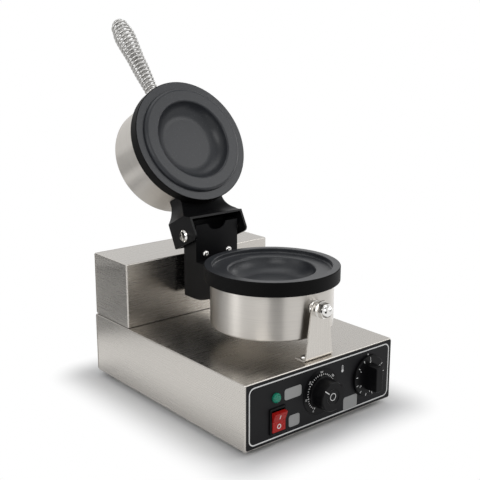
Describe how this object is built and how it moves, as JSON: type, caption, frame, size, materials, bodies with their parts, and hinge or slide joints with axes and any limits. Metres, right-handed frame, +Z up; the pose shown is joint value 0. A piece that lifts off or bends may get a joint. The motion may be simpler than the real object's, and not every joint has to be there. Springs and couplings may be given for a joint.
{
  "type": "ice cream burger press",
  "caption": "Countertop press with two round non-stick heated plates, a hinged lid with a spring-wire handle, and a stainless box base with dials and a rocker switch.",
  "frame": {"origin": "on the table, under the middle of the base, at the level of the bottoms of the feet", "axes": "+X to the right as seen from the control panel, +Y to the rear, +Z up"},
  "size_m": [0.24, 0.4613, 0.4816],
  "materials": {
    "stainless": "brushed stainless sheet, warm grey",
    "screw_steel": "plain machined steel",
    "chrome": "bright plated steel",
    "nonstick": "aluminium casting with a dark non-stick coating",
    "black_paint": "satin black painted steel",
    "overlay": "satin black printed overlay",
    "black_plastic": "black moulded plastic",
    "red_rocker": "red moulded plastic",
    "green_lens": "green translucent lens",
    "rubber": "black rubber",
    "element": "heating band",
    "wool": "mineral wool pad"
  },
  "bodies": {
    "base": {"base_shell": "stainless", "base_floor": "stainless", "base_back_panel": "stainless", "rubber_feet": "rubber", "foot_screws": "screw_steel", "housing_gasket": "rubber", "housing_shell": "stainless", "housing_back_panel": "stainless", "panel_screws": "screw_steel", "cable_gland": "black_plastic", "control_panel": "overlay", "lamp_lens": "green_lens", "lamp_barrel": "black_plastic", "switch_body": "black_plastic", "thermostat_regulator": "black_plastic", "thermostat_dial": "black_plastic", "timer_case": "black_plastic", "lower_plate": "nonstick", "lower_drum": "stainless", "lower_element": "element", "lower_wool": "wool", "support_bracket": "stainless", "bracket_screws": "chrome", "support_stud": "chrome", "stud_washers": "chrome", "jam_nut": "chrome", "acorn_nut": "chrome", "hinge_column": "black_paint", "column_front_plate": "black_paint", "column_screw_bar": "black_paint", "column_screws": "chrome", "column_mount": "black_paint", "mount_bolt_set": "screw_steel", "pivot_screws": "chrome", "pivot_sleeves": "screw_steel", "pivot_nuts": "screw_steel"},
    "lid": {"lid_plate": "nonstick", "lid_drum": "stainless", "lid_element": "element", "lid_wool": "wool", "hinge_hood": "black_paint", "handle_ferrule": "chrome", "handle_rod": "screw_steel", "grip_spring": "chrome"},
    "thermostat_dial_knob": {"thermostat_knob": "black_plastic", "thermostat_shaft": "screw_steel"},
    "timer_dial_knob": {"timer_knob": "black_plastic", "timer_shaft": "screw_steel"},
    "rocker_key": {"rocker": "red_rocker"}
  },
  "joints": [
    {"name": "lid_hinge", "type": "hinge", "parent": "base", "child": "lid", "pos_m": [0, 0.0554, 0.2066], "axis": [1, 0, 0], "range_deg": [0, 117.6]},
    {"name": "thermostat_turn", "type": "hinge", "parent": "base", "child": "thermostat_dial_knob", "pos_m": [-0.004, -0.165, 0.051], "axis": [0, 1, 0], "range_deg": [-98, 202]},
    {"name": "timer_turn", "type": "hinge", "parent": "base", "child": "timer_dial_knob", "pos_m": [0.077, -0.165, 0.0505], "axis": [0, 1, 0], "range_deg": [0, 300]},
    {"name": "rocker_press", "type": "hinge", "parent": "base", "child": "rocker_key", "pos_m": [-0.073, -0.1599, 0.0355], "axis": [-1, 0, 0], "range_deg": [0, 20]}
  ]
}
